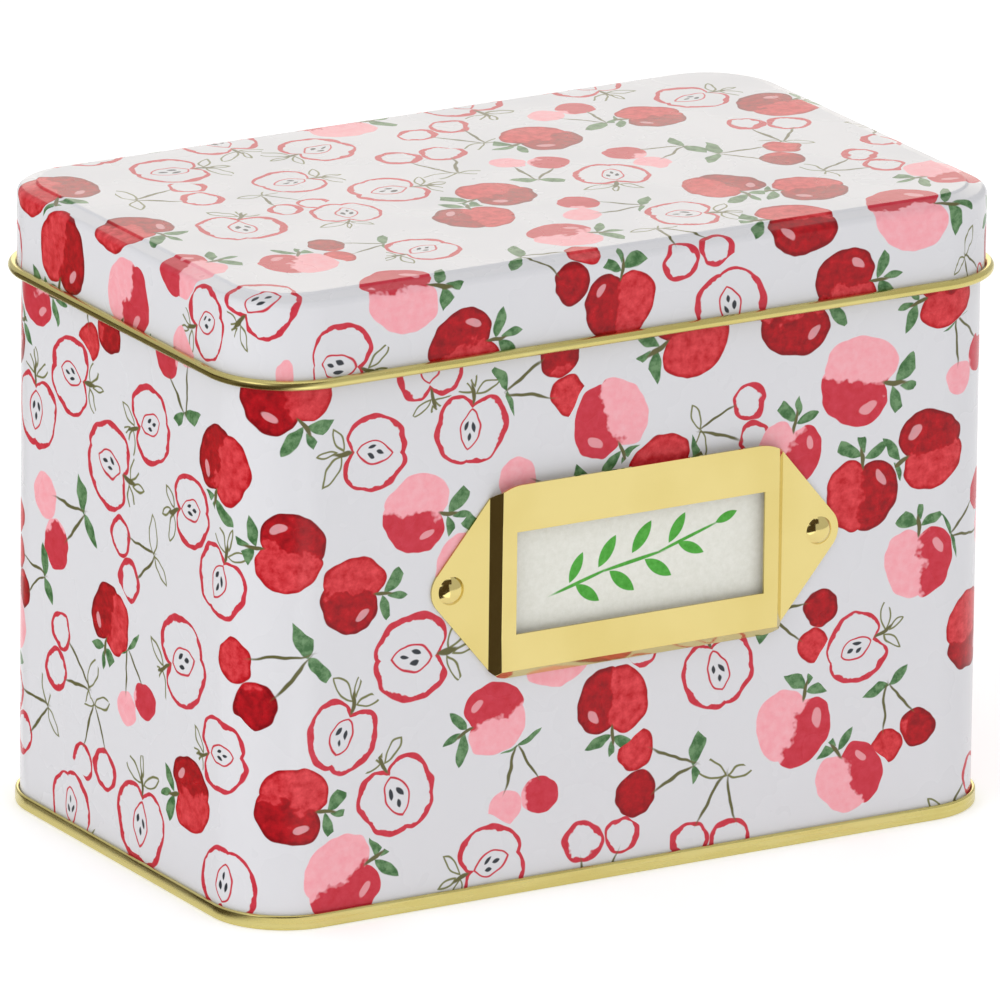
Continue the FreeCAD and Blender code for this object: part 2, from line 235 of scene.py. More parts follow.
# Cards that only reflections show, which paint reflections on the tin: the dark ones paint dark
# reflections, tinted by their colour, and the glowing one paints a highlight. Their columns: left
# front corner, right back corner, rise of the left and front edges, colour and glow
REFLECTED_CARDS = (
    ("studio_flag", (-1.0, -0.62, 0.0005), (-0.088, 2.4, 0.0005), 0.5, (0.06, 0.035, 0.01), 0.0),
    ("studio_flag_beside", (-1.0, 0.0, 0.0008), (-0.088, 2.4, 0.0008), 0.0, (0.2, 0.18, 0.12), 0.0),
    ("studio_flag_overhead", (-1.6, -1.8, 1.3), (0.5, -0.6, 1.3), 0.0, (0.06, 0.035, 0.01), 0.0),
    # A glowing card, no lamp, that paints a bright highlight in the polished metal
    ("studio_reflector", (-0.12, -0.42, 0.0008), (-0.04, -0.12, 0.0008), 0.0, (0.9, 0.9, 0.9), 1.2),
)

# Camera: the spot that it looks at, in metres, and where it stands from there
CAMERA_TARGET = (0.00026, 0, 0.06208)
CAMERA_AZIMUTH = math.radians(-30.52)
CAMERA_ELEVATION = math.radians(17.20)
CAMERA_DISTANCE = 3.463
CAMERA_ROLL = math.radians(0.652)
CAMERA_LENS = 631.2
CAMERA_SENSOR = 36


def linear(colour):
    """Turns an sRGB hex colour into linear red, green, blue and a full alpha."""
    shares = [int(colour[start:start + 2], 16) / 255 for start in (1, 3, 5)]
    return [s / 12.92 if s <= 0.04045 else ((s + 0.055) / 1.055) ** 2.4 for s in shares] + [1.0]


def length_property(name, description, default_mm):
    """A length that a user may change, with its default in millimetres."""
    return FloatProperty(
        name=name, description=description, default=default_mm * MM, unit="LENGTH", precision=5,
    )


def colour_property(name, description, colour):
    """A colour that a user may change, with its default in sRGB hex."""
    return FloatVectorProperty(
        name=name, description=description, default=linear(colour), size=4, min=0, max=1, subtype="COLOR",
    )


class RecipeTinSizes(bpy.types.PropertyGroup):
    body_width: length_property("Body width", "Printed wall, left to right", 170)
    body_depth: length_property("Body depth", "Printed wall, front to back", 105)
    corner_radius: length_property("Corner radius", "Round upright corners of the wall", 15)
    tin_height: length_property("Height", "From the table to the lid's shoulder", 127)
    sheet: length_property("Sheet", "Thickness of the tinplate", 0.28)
    rim_curl: length_property("Rim curl", "Diameter of the body's inward curl", 2.2)
    seam_height: length_property("Seam height", "Height of the double seam at the foot", 3.0)
    seam_foot: length_property("Seam foot", "Bend radius at the bottom of the seam", 0.4)
    floor_height: length_property("Floor height", "Underside of the floor above the table", 3.5)
    lid_depth: length_property("Lid depth", "From the lid's shoulder to its rolled edge", 17.3)
    lid_play: length_property("Lid play", "Room between the wall and the lid", 0.65)
    lid_curl: length_property("Lid curl", "Diameter of the lid's outward curl", 2.0)
    lid_edge: length_property("Lid edge", "Outer radius of the lid's top edge", 1.5)
    lid_shoulder: length_property("Lid shoulder", "Flat between the edge and the raised panel", 2.4)
    lid_rise: length_property("Lid rise", "Height of the raised panel above the shoulder", 0.9)
    holder_middle: length_property("Holder height", "Middle of the card holder above the table", 64.2)
    holder_sheet: length_property("Holder sheet", "Thickness of the card holder's plate", 0.5)
    holder_stand_off: length_property("Stand-off", "Room between the wall and the tray", 1.9)
    holder_face: length_property("Tray width", "Flat of the tray, side to side", 62.4)
    holder_above: length_property("Tray top", "Top edge of the tray above the middle", 19.9)
    holder_below: length_property("Tray foot", "Lower edge of the tray's flat below the middle", 17.6)
    window_width: length_property("Window width", "Opening for the label", 56.2)
    window_height: length_property("Window height", "Opening for the label", 20.8)
    ear_height: length_property("Ear height", "Root of each ear", 35)
    ear_reach: length_property("Ear reach", "From the fold to the tip of the ear", 13)
    ear_tip: length_property("Ear tip", "Radius of the ear's tip", 5.2)
    rivet_head: length_property("Rivet head", "Diameter of the domed head", 5.7)
    rivet_rise: length_property("Rivet rise", "Height of the domed head", 1.35)


class RecipeTinColours(bpy.types.PropertyGroup):
    coating: colour_property("Coating", "White coating under the print", "#dedee2")
    deep_red: colour_property("Deep red", "Ink where the red pools", "#84000c")
    red: colour_property("Red", "Solid red ink", "#bc0818")
    light_red: colour_property("Light red", "Ink where the red is thin", "#e84a51")
    rose: colour_property("Rose", "Wash at its strong side, and brush outlines", "#d8465a")
    pink: colour_property("Pink", "Wash at its weak side", "#f58d9a")
    pale_pink: colour_property("Pale pink", "Wash where it is thinnest", "#fac4cb")
    fleck: colour_property("Fleck", "Small marks on the fruit", "#6e0c1e")
    leaf: colour_property("Leaf", "Green leaves", "#3f6b3c")
    pale_leaf: colour_property("Pale leaf", "Green leaves where the ink is thin", "#6f9468")
    olive: colour_property("Olive", "Leaves drawn as outlines", "#77794a")
    stalk: colour_property("Stalk", "Stalks", "#63613a")
    pip: colour_property("Pip", "Pips of the halved apples", "#33373d")
    lacquer: colour_property("Lacquer", "Gold lacquer on the bare tinplate", "#d8cc86")
    deep_lacquer: colour_property("Deep lacquer", "Gold lacquer where it lies thick", "#cdbf74")
    brass: colour_property("Brass", "Brass plating of the card holder", "#e1cf8a")
    deep_brass: colour_property("Deep brass", "Brass plating where it is warmer", "#dbc880")
    card: colour_property("Card", "Label card", "#eeeee6")
    card_fibre: colour_property("Card fibre", "Darker fibres of the label card", "#e4e4da")
    sprig: colour_property("Sprig", "Green stamp on the label card", "#3f9a2c")
    pale_sprig: colour_property("Pale sprig", "Green stamp where the ink is thin", "#5cb648")
    floor: colour_property("Floor", "Studio floor", "#f4f4f4")


def sizes():
    return bpy.context.scene.recipe_tin_sizes


def colours():
    return bpy.context.scene.recipe_tin_colours


def fill_inputs(tree, node, values):
    """Fills a node's inputs with numbers, colours, sockets or other nodes.

    The values are a tuple, for the inputs in use in their order, or a dictionary whose keys are
    names or numbers of inputs. A node stands for the first of its outputs in use.
    """
    in_use = [socket for socket in node.inputs if socket.enabled]
    for key, value in values.items() if isinstance(values, dict) else enumerate(values):
        socket = in_use[key] if isinstance(key, int) else node.inputs[key]
        if isinstance(value, bpy.types.Node):
            value = next(output for output in value.outputs if output.enabled)
        if isinstance(value, bpy.types.NodeSocket):
            tree.links.new(value, socket)
        else:
            socket.default_value = value


def add_node(tree, kind, values=(), **settings):
    """Adds a node with its settings and fills its inputs."""
    node = tree.nodes.new(kind)
    for name, setting in settings.items():
        setattr(node, name, setting)
    fill_inputs(tree, node, values)
    return node


def new_material(name):
    """Makes an empty material, and returns its tree and its Principled shader to work on."""
    material = bpy.data.materials.new(name)
    material.use_nodes = True
    return material.node_tree, material.node_tree.nodes["Principled BSDF"]


def oval_depth(tree, point, at, turn, half_length, half_width):
    """How deep a point is inside an oval, about in millimetres, and under 0 outside it."""
    inside = add_node(
        tree, MAPPING,
        {"Vector": point, "Location": (*at, 0), "Rotation": (0, 0, turn),
         "Scale": (half_length, half_width, 1)},
        vector_type="TEXTURE",
    )
    away = add_node(tree, VECTOR, (inside,), operation="LENGTH")
    return add_node(tree, MATH, (away, -half_width, half_width), operation="MULTIPLY_ADD")


def leaf_depth(tree, point, at, turn, half_length, half_width):
    """How deep a point is inside a pointed leaf, in millimetres, and under 0 outside it."""
    bow = (half_length ** 2 - half_width ** 2) / (2 * half_width)
    inside = add_node(
        tree, MAPPING, {"Vector": point, "Location": (*at, 0), "Rotation": (0, 0, turn)},
        vector_type="TEXTURE",
    )
    folded = add_node(tree, VECTOR, (inside,), operation="ABSOLUTE")
    away = add_node(tree, VECTOR, (folded, (0, -bow, 0)), operation="DISTANCE")
    return add_node(tree, MATH, (bow + half_width, away), operation="SUBTRACT")


def stroke_depth(tree, point, start, end, width):
    """How deep a point is inside one brush stroke from start to end, thin at both ends."""
    run = Vector(end) - Vector(start)
    middle = (Vector(start) + Vector(end)) / 2
    return oval_depth(tree, point, middle, math.atan2(run.y, run.x), run.length / 2, width / 2)


def deepest(tree, shape_depth, point, shapes):
    """How deep a point is inside whichever of these like shapes it is deepest in."""
    depths = [shape_depth(tree, point, *shape) for shape in shapes]
    found = depths[0]
    for depth in depths[1:]:
        found = add_node(tree, MATH, (found, depth), operation="MAXIMUM")
    return found


def inked(tree, depth):
    """1 inside a shape and 0 outside it, with the soft edge of ink."""
    return add_node(tree, RANGE, (depth, -INK_EDGE, INK_EDGE), interpolation_type="SMOOTHSTEP")


def pen_line(tree, depth, width):
    """1 on a pen line that runs just inside a shape's edge."""
    half = add_node(tree, MATH, (width, 0.5), operation="MULTIPLY")
    off = add_node(tree, MATH, (depth, half), operation="SUBTRACT")
    away = add_node(tree, MATH, (off,), operation="ABSOLUTE")
    return inked(tree, add_node(tree, MATH, (half, away), operation="SUBTRACT"))


def apple_depth(tree, spot):
    """How deep a point is inside an apple, whose radius changes with the angle from its stalk."""
    across = add_node(tree, SPLIT, (spot,))
    angle = add_node(tree, MATH, (across.outputs["X"], across.outputs["Y"]), operation="ARCTAN2")
    turn = add_node(tree, MATH, (angle,), operation="ABSOLUTE")
    share = add_node(tree, MATH, (turn, math.pi), operation="DIVIDE")
    curve = add_node(tree, "ShaderNodeFloatCurve", {"Value": share})
    points = curve.mapping.curves[0].points
    points[0].location = APPLE_RADII[0]
    points[1].location = APPLE_RADII[-1]
    for place in APPLE_RADII[1:-1]:
        points.new(*place)
    curve.mapping.update()
    away = add_node(tree, VECTOR, (spot,), operation="LENGTH")
    inward = add_node(tree, MATH, (away, -1.0), operation="MULTIPLY")
    return add_node(tree, MATH, (curve, APPLE_SIZE, inward), operation="MULTIPLY_ADD")


def tossed_fruit(tree):
    """Places the fruit, each turned its own way and as large as its neighbours leave room for.

    Returns the point on the sheet and the spot in its own motif, in millimetres, and the
    motif's three dice.
    """
    sheet = add_node(tree, "ShaderNodeUVMap", uv_map="print")
    on_sheet = add_node(tree, VECTOR, {0: sheet, "Scale": 1 / MM}, operation="SCALE")
    shake = add_node(tree, NOISE, {"Vector": on_sheet, "Scale": 1 / HAND_SHAKE, "Detail": 1.0})
    centred = add_node(tree, VECTOR, (shake.outputs["Color"], (0.5, 0.5, 0.5)), operation="SUBTRACT")
    wobble = add_node(tree, VECTOR, {0: centred, "Scale": HAND_WOBBLE}, operation="SCALE")
    drawn = add_node(tree, VECTOR, (on_sheet, wobble), operation="ADD")

    # Turned by an eighth, a square lattice puts the fruit in offset rows
    lattice = add_node(
        tree, MAPPING,
        {"Vector": drawn, "Location": LAYOUT_START, "Rotation": (0, 0, math.pi / 4),
         "Scale": (1 / FRUIT_SPACING,) * 3},
    )
    toss = {"Vector": lattice, "Scale": 1.0, "Randomness": TOSS}
    nearest = add_node(tree, VORONOI, toss, voronoi_dimensions="2D")
    room = add_node(tree, VORONOI, toss, voronoi_dimensions="2D", feature="N_SPHERE_RADIUS")
    dice = add_node(tree, "ShaderNodeSeparateColor", (nearest.outputs["Color"],))
    quarters = add_node(tree, MATH, (dice.outputs["Green"], 4), operation="MULTIPLY")
    whole = add_node(tree, MATH, (quarters,), operation="FLOOR")
    rest = add_node(tree, MATH, (quarters,), operation="FRACT")
    lean = add_node(tree, RANGE, (rest, 0, 1, math.pi / 4 - MOST_LEAN, math.pi / 4 + MOST_LEAN))
    angle = add_node(tree, MATH, (whole, math.pi / 2, lean), operation="MULTIPLY_ADD")
    from_middle = add_node(tree, VECTOR, (lattice, nearest.outputs["Position"]), operation="SUBTRACT")
    turned = add_node(
        tree, "ShaderNodeVectorRotate", {"Vector": from_middle, "Angle": angle}, rotation_type="Z_AXIS",
    )
    room_to_size = (FRUIT_SPACING / SMALLEST_FRUIT, FRUIT_SPACING / LARGEST_FRUIT)
    size = add_node(tree, RANGE, (room.outputs["Radius"], LEAST_ROOM, MOST_ROOM, *room_to_size))
    spot = add_node(tree, VECTOR, {0: turned, "Scale": size}, operation="SCALE")
    return on_sheet, spot, dice


def fruit_print(tree):
    """Draws apples and cherries as red washes, pink washes and brush outlines, with green leaves."""
    ink = colours()
    on_sheet, spot, dice = tossed_fruit(tree)
    cherry = add_node(tree, MATH, (dice.outputs["Red"], CHERRY_FROM), operation="GREATER_THAN")
    outlined = add_node(tree, MATH, (dice.outputs["Blue"], OUTLINED_FROM), operation="GREATER_THAN")
    washed = add_node(tree, MATH, (dice.outputs["Blue"], WASHED_BELOW), operation="LESS_THAN")
    filled = add_node(tree, MATH, (1.0, outlined), operation="SUBTRACT")
    apple = add_node(tree, MATH, (1.0, cherry), operation="SUBTRACT")
    cherries = deepest(tree, oval_depth, spot, CHERRIES)
    fruit = add_node(tree, MIX, (cherry, apple_depth(tree, spot), cherries))

    # Wet colour: tone drifts, pools at the rim, and changes along a ragged line where two washes meet
    clouds = {"Vector": on_sheet, "Scale": 1 / CLOUD, "Detail": 3.0, "Roughness": 0.6}
    cloud = add_node(tree, NOISE, clouds)
    grains = {"Vector": on_sheet, "Scale": 1 / GRAIN, "Detail": 4.0, "Roughness": 0.65}
    grain = add_node(tree, NOISE, grains)
    across = add_node(tree, SPLIT, (spot,)).outputs["X"]
    ragged = add_node(tree, MATH, (cloud, WASH_LINE_STRAY, WASH_LINE_PLACE), operation="MULTIPLY_ADD")
    beyond = add_node(tree, MATH, (across, ragged), operation="ADD")
    second = add_node(tree, RANGE, (beyond, -WASH_LINE_EDGE, WASH_LINE_EDGE))
    pool = add_node(tree, RANGE, (fruit, 0, RIM_POOL, *RIM_POOL_TONE))
    drift = add_node(tree, MATH, (grain, GRAIN_TONE, pool), operation="MULTIPLY_ADD")
    tone = add_node(tree, MATH, (second, SECOND_WASH_TONE, drift), operation="MULTIPLY_ADD")
    red = add_node(tree, "ShaderNodeValToRGB", (tone,))
    ramp = red.color_ramp.elements
    ramp[0].position, ramp[0].color = RED_STOPS[0], ink.deep_red
    ramp[1].position, ramp[1].color = RED_STOPS[2], ink.light_red
    ramp.new(RED_STOPS[1]).color = ink.red
    pink = add_node(tree, MIX, (grain, ink.pale_pink, ink.pink), data_type="RGBA")
    rose = add_node(tree, MIX, (grain, ink.rose, ink.red), data_type="RGBA")
    wash = add_node(tree, MIX, (second, rose, pink), data_type="RGBA")
    body = add_node(tree, MIX, (washed, red, wash), data_type="RGBA")

    # Marks on the fruit: short flecks, and a glint left thin by the brush
    flecks = {"Vector": spot, "Scale": 1 / FLECK_SPACING, "Randomness": FLECK_TOSS}
    fleck = add_node(tree, VORONOI, flecks, voronoi_dimensions="2D").outputs["Position"]
    at_fleck = add_node(tree, VECTOR, {0: fleck, "Scale": FLECK_SPACING}, operation="SCALE")
    off_fleck = add_node(tree, VECTOR, (spot, at_fleck), operation="SUBTRACT")
    in_fleck = oval_depth(tree, off_fleck, (0, 0), FLECK_TURN, FLECK_LENGTH / 2, FLECK_WIDTH / 2)
    well_inside = add_node(tree, RANGE, (fruit, *FLECK_INSET))
    marks = add_node(tree, MATH, (inked(tree, in_fleck), well_inside), operation="MULTIPLY")
    body = add_node(tree, MIX, (marks, body, ink.fleck), data_type="RGBA")
    glint = inked(tree, oval_depth(tree, spot, *GLINT))
    glint = add_node(tree, MATH, (glint, apple), operation="MULTIPLY")
    glint = add_node(tree, MATH, (glint, GLINT_SHARE), operation="MULTIPLY")
    body = add_node(tree, MIX, (glint, body, ink.pale_pink), data_type="RGBA")
    inside = add_node(tree, MATH, (inked(tree, fruit), filled), operation="MULTIPLY")
    picture = add_node(tree, MIX, (inside, ink.coating, body), data_type="RGBA")

    # Fruit drawn as an outline: a brush line, and for a halved apple its core and pips
    width = add_node(tree, RANGE, (cloud, *SOFT_NOISE_SPREAD, *BRUSH_LINE))
    core = pen_line(tree, leaf_depth(tree, spot, *APPLE_CORE), PEN_LINE)
    core = add_node(tree, MATH, (core, apple), operation="MULTIPLY")
    line = add_node(tree, MATH, (pen_line(tree, fruit, width), core), operation="MAXIMUM")
    line = add_node(tree, MATH, (line, outlined), operation="MULTIPLY")
    brushed = add_node(tree, MIX, (grain, ink.red, ink.rose), data_type="RGBA")
    picture = add_node(tree, MIX, (line, picture, brushed), data_type="RGBA")
    pips = inked(tree, deepest(tree, leaf_depth, spot, APPLE_PIPS))
    pips = add_node(tree, MATH, (pips, outlined), operation="MULTIPLY")
    pips = add_node(tree, MATH, (pips, apple), operation="MULTIPLY")
    picture = add_node(tree, MIX, (pips, picture, ink.pip), data_type="RGBA")

    # Leaves and stalks, laid on last
    apple_leaves = deepest(tree, leaf_depth, spot, APPLE_LEAVES)
    cherry_leaves = deepest(tree, leaf_depth, spot, CHERRY_LEAVES)
    leaves = add_node(tree, MIX, (cherry, apple_leaves, cherry_leaves))
    leaf = add_node(tree, MIX, (outlined, inked(tree, leaves), pen_line(tree, leaves, PEN_LINE)))
    leaf_tone = add_node(tree, RANGE, (grain, *LEAF_GRAIN))
    green = add_node(tree, MIX, (leaf_tone, ink.leaf, ink.pale_leaf), data_type="RGBA")
    green = add_node(tree, MIX, (outlined, green, ink.olive), data_type="RGBA")
    picture = add_node(tree, MIX, (leaf, picture, green), data_type="RGBA")
    apple_stalk = stroke_depth(tree, spot, *APPLE_STALK)
    cherry_stalks = deepest(tree, stroke_depth, spot, CHERRY_STALKS)
    stalks = add_node(tree, MIX, (cherry, apple_stalk, cherry_stalks))
    return add_node(tree, MIX, (inked(tree, stalks), picture, ink.stalk), data_type="RGBA")


def printed_tinplate():
    """Tinplate that is coated white, printed by offset and varnished clear while flat, then pressed.

    The ink lies under one smooth gloss that clouds only a little, and the flat walls are not
    quite flat, so reflections waver.
    """
    tree, shader = new_material("printed_tinplate")
    place = add_node(tree, PLACE).outputs["Object"]
    haze = add_node(tree, NOISE, {"Vector": place, "Scale": 1 / VARNISH_HAZE, "Detail": 3.0})
    waver = add_node(tree, NOISE, {"Vector": place, "Scale": 1 / WALL_WAVER, "Detail": 1.0})
    fill_inputs(tree, shader, {
        "Base Color": fruit_print(tree),
        "Roughness": add_node(tree, RANGE, (haze, *NOISE_SPREAD, *VARNISH_ROUGHNESS)),
        "IOR": VARNISH_IOR,
        "Normal": add_node(tree, BUMP, {"Height": waver, "Distance": WALL_WAVER_RISE}),
    })


def gold_lacquered_tinplate():
    """Rolled tinplate under a thin gold lacquer: the rolling marks show as long faint streaks."""
    colour = colours()
    tree, shader = new_material("gold_lacquer_on_tinplate")
    place = add_node(tree, PLACE).outputs["Object"]
    rolled = add_node(tree, MAPPING, {"Vector": place, "Scale": (ROLLED_OUT, ROLLED_OUT, 1.0)})
    streaks = add_node(tree, NOISE, {"Vector": rolled, "Scale": 1 / ROLLING_MARKS, "Detail": 3.0})
    cloud = add_node(tree, NOISE, {"Vector": place, "Scale": 1 / LACQUER_CLOUD, "Detail": 3.0})
    tone = add_node(tree, MATH, (streaks, cloud), operation="ADD")
    share = add_node(tree, RANGE, (tone, *TWO_NOISES_SPREAD))
    fill_inputs(tree, shader, {
        "Base Color": add_node(tree, MIX, (share, colour.deep_lacquer, colour.lacquer), data_type="RGBA"),
        "Metallic": 1,
        "Roughness": add_node(tree, RANGE, (tone, *TWO_NOISES_SPREAD, *LACQUER_ROUGHNESS)),
        "Normal": add_node(tree, BUMP, {"Height": streaks, "Distance": ROLLING_MARKS_RISE}),
    })


def brass_plating():
    """Steel plate, polished and brass plated: a near mirror with fine polishing lines and a slow waver."""
    colour = colours()
    tree, shader = new_material("brass_plating")
    place = add_node(tree, PLACE).outputs["Object"]
    polished = add_node(tree, MAPPING, {"Vector": place, "Scale": (POLISHED_OUT, 1.0, 1.0)})
    lines = add_node(tree, NOISE, {"Vector": polished, "Scale": 1 / POLISHING_LINES, "Detail": 3.0})
    cloud = add_node(tree, NOISE, {"Vector": place, "Scale": 1 / BRASS_CLOUD, "Detail": 2.0})
    waver = add_node(tree, NOISE, {"Vector": place, "Scale": 1 / BRASS_WAVER, "Detail": 1.0})
    share = add_node(tree, RANGE, (cloud, *SOFT_NOISE_SPREAD))
    fill_inputs(tree, shader, {
        "Base Color": add_node(tree, MIX, (share, colour.deep_brass, colour.brass), data_type="RGBA"),
        "Metallic": 1,
        "Roughness": add_node(tree, RANGE, (lines, *NOISE_SPREAD, *BRASS_ROUGHNESS)),
        "Normal": add_node(tree, BUMP, {"Height": waver, "Distance": BRASS_WAVER_RISE}),
    })


def card_stock():
    """Uncoated white card, whose fibres give it a soft tooth, with a leafy sprig stamped in green."""
    colour = colours()
    tree, shader = new_material("uncoated_card")
    place = add_node(tree, PLACE).outputs["Object"]
    upright = add_node(
        tree, MAPPING, {"Vector": place, "Rotation": (-math.pi / 2, 0, 0), "Scale": (1 / MM,) * 3},
    )
    window_middle = (0, sizes().holder_middle / MM, 0)
    on_card = add_node(tree, VECTOR, (upright, window_middle), operation="SUBTRACT")
    flat = add_node(tree, VECTOR, (on_card, (1, 1, 0)), operation="MULTIPLY")
    fibres = add_node(
        tree, NOISE, {"Vector": place, "Scale": 1 / CARD_FIBRES, "Detail": 4.0, "Roughness": 0.7},
    )
    share = add_node(tree, RANGE, (fibres, *NOISE_SPREAD))
    paper = add_node(tree, MIX, (share, colour.card_fibre, colour.card), data_type="RGBA")
    stem = deepest(tree, stroke_depth, flat, SPRIG_STEM)
    leaves = deepest(tree, leaf_depth, flat, SPRIG_LEAVES)
    sprig = inked(tree, add_node(tree, MATH, (stem, leaves), operation="MAXIMUM"))
    green = add_node(tree, MIX, (share, colour.sprig, colour.pale_sprig), data_type="RGBA")
    fill_inputs(tree, shader, {
        "Base Color": add_node(tree, MIX, (sprig, paper, green), data_type="RGBA"),
        "Roughness": CARD_ROUGHNESS,
        "Normal": add_node(tree, BUMP, {"Height": fibres, "Distance": CARD_FIBRES_RISE}),
    })


def first_vertex(name, place):
    """Adds a new piece that is one selected vertex, and stays in edit mode."""
    bpy.ops.object.select_all(action="DESELECT")
    bpy.ops.mesh.primitive_plane_add(size=MM, location=place)
    piece = bpy.context.active_object
    piece.name = piece.data.name = name
    settle()
    bpy.ops.object.mode_set(mode="EDIT")
    bpy.ops.mesh.select_mode(type="VERT")
    bpy.ops.mesh.select_all(action="SELECT")
    bpy.ops.mesh.merge(type="CENTER")
    return piece


def pick(piece):
    """Selects one piece and makes it the active one."""
    bpy.ops.object.select_all(action="DESELECT")
    piece.select_set(True)
    bpy.context.view_layer.objects.active = piece


def edit_piece(piece):
    pick(piece)
    bpy.ops.object.mode_set(mode="EDIT")


def leave_edit():
    bpy.ops.object.mode_set(mode="OBJECT")


def settle():
    """Applies the active object's place, so that it sits at the origin, unturned and unscaled."""
    bpy.ops.object.transform_apply(location=True, rotation=True, scale=True)


def meets(one, other):
    """Whether two places along an axis are the same."""
    return abs(one - other) < MERGE_DISTANCE


def apply_modifier(piece, kind, **settings):
    """Adds one modifier to the active piece and applies it."""
    modifier = piece.modifiers.new(kind.title(), kind)
    for name, setting in settings.items():
        setattr(modifier, name, setting)
    bpy.ops.object.modifier_apply(modifier=modifier.name)


def select_where(piece, kind, test):
    """Selects the vertices, edges or faces whose middle passes the test, and stays in edit mode."""
    bpy.ops.mesh.select_mode(type={"vertices": "VERT", "edges": "EDGE", "polygons": "FACE"}[kind])
    bpy.ops.mesh.select_all(action="DESELECT")
    leave_edit()
    mesh = piece.data
    for element in getattr(mesh, kind):
        if kind == "vertices":
            middle = element.co
        elif kind == "edges":
            middle = sum((mesh.vertices[end].co for end in element.vertices), Vector()) / 2
        else:
            middle = element.center
        element.select = test(middle)
    bpy.ops.object.mode_set(mode="EDIT")


class BentSheet:
    """Bends a strip of sheet, one run or bend after another, along the middle of its thickness.

    The section stands in the plane y = 0 at the right-hand side of the tin. Outward is
    measured from the outer face of the printed wall. The trace keeps each point of the
    section with the length of sheet that has been used up to it.
    """

    def __init__(self, name, outward, height, heading):
        self.wall = sizes().body_width / 2
        self.place = Vector((self.wall + outward, 0, height))
        self.heading = math.radians(heading)
        self.used = 0.0
        self.trace = [(self.place.copy(), 0.0)]
        self.piece = first_vertex(name, self.place)

    def keep(self, place, used):
        """Notes where the section has got to."""
        self.place = place
        self.used = used
        self.trace.append((place.copy(), used))

    def run(self, length):
        """Goes straight on for a length."""
        step = Vector((math.cos(self.heading), 0, math.sin(self.heading))) * length
        bpy.ops.mesh.extrude_vertices_move(TRANSFORM_OT_translate={"value": step})
        self.keep(self.place + step, self.used + length)
        return self

    def run_to_outward(self, outward):
        return self.run(abs(self.wall + outward - self.place.x))

    def run_to_height(self, height):
        return self.run(abs(height - self.place.z))

    def bend(self, radius, degrees):
        """Turns left for positive degrees, right for negative ones."""
        hand = math.copysign(1.0, degrees)
        turn = math.radians(abs(degrees))
        steps = max(3, math.ceil(turn / BEND_STEP))
        centre = self.place + Vector((-math.sin(self.heading), 0, math.cos(self.heading))) * (hand * radius)
        spoke = self.place - centre
        bpy.ops.mesh.spin(steps=steps, angle=turn, center=centre, axis=(0, hand, 0))
        start = self.used
        for step in range(1, steps + 1):
            part = turn * step / steps
            cos, sin = math.cos(part), hand * math.sin(part)
            turned = Vector((spoke.x * cos - spoke.z * sin, 0, spoke.x * sin + spoke.z * cos))
            self.keep(centre + turned, start + radius * part)
        self.heading += hand * turn
        return self

    def step_down(self, fall, radius, slope):
        """Two opposite bends that bring the sheet to a lower level while it heads outward."""
        length = (fall - 2 * radius * (1 - math.cos(math.radians(slope)))) / math.sin(math.radians(slope))
        return self.bend(radius, -slope).run(length).bend(radius, slope)

    def carry_round_the_tin(self):
        """Carries the section along half a side, round a corner and along half a back, then mirrors it."""
        corner_x, corner_y = corner_centre()
        bpy.ops.mesh.select_all(action="SELECT")
        bpy.ops.mesh.extrude_edges_move(TRANSFORM_OT_translate={"value": (0, corner_y, 0)})
        bpy.ops.mesh.spin(
            steps=CORNER_STEPS, angle=math.pi / 2, center=(corner_x, corner_y, 0), axis=(0, 0, -1),
        )
        bpy.ops.mesh.extrude_edges_move(TRANSFORM_OT_translate={"value": (-corner_x, 0, 0)})
        leave_edit()
        apply_modifier(
            self.piece, "MIRROR", use_axis=(True, True, False), use_mirror_merge=True,
            merge_threshold=MERGE_DISTANCE,
        )
        return self.piece

    def sheet_used_at(self, outward, height):
        """Length of sheet from the start of the section to the point of it that is nearest."""
        spot = Vector((self.wall + outward, 0, height))
        return min(self.trace, key=lambda kept: (kept[0] - spot).length_squared)[1]


def corner_centre():
    """Middle of the round corner at the back right."""
    size = sizes()
    return size.body_width / 2 - size.corner_radius, size.body_depth / 2 - size.corner_radius


def nearest_on_wall(x, y):
    """The outward direction at a point beside the tin, and how far outside the printed wall it is."""
    radius = sizes().corner_radius
    corner_x, corner_y = corner_centre()
    beyond_x, beyond_y = abs(x) - corner_x, abs(y) - corner_y
    if beyond_x > 0 and beyond_y > 0:
        away = math.hypot(beyond_x, beyond_y)
        direction = Vector((math.copysign(beyond_x / away, x), math.copysign(beyond_y / away, y)))
        return direction, away - radius
    if beyond_x > beyond_y:
        return Vector((math.copysign(1.0, x), 0)), beyond_x - radius
    return Vector((0, math.copysign(1.0, y))), beyond_y - radius


def half_way_round():
    """Length of wall from the middle of the back to the middle of the front."""
    corner_x, corner_y = corner_centre()
    return 2 * corner_x + sizes().corner_radius * math.pi + 2 * corner_y


def along_the_wall(x, y):
    """Length of wall from the middle of the back, round by the right-hand side, to a point of the wall."""
    corner_x, corner_y = corner_centre()
    quarter = sizes().corner_radius * math.pi / 2
    direction, _ = nearest_on_wall(x, y)
    if direction.x == 0:
        length = min(abs(x), corner_x)
    elif direction.y == 0:
        length = corner_x + quarter + corner_y - min(abs(y), corner_y)
    else:
        length = corner_x + quarter - sizes().corner_radius * math.atan2(abs(direction.y), abs(direction.x))
    if y < 0:
        length = half_way_round() - length
    return length if x >= 0 else 2 * half_way_round() - length


def along_the_print(point, face_middle):
    """Place on the sheet that the wall is rolled from, whose two ends meet at the side seam."""
    length = along_the_wall(point.x, point.y)
    at_the_back = face_middle.y > corner_centre()[1]
    if at_the_back and face_middle.x < SIDE_SEAM_JOINT and length < half_way_round():
        length += 2 * half_way_round()
    return length, point.z


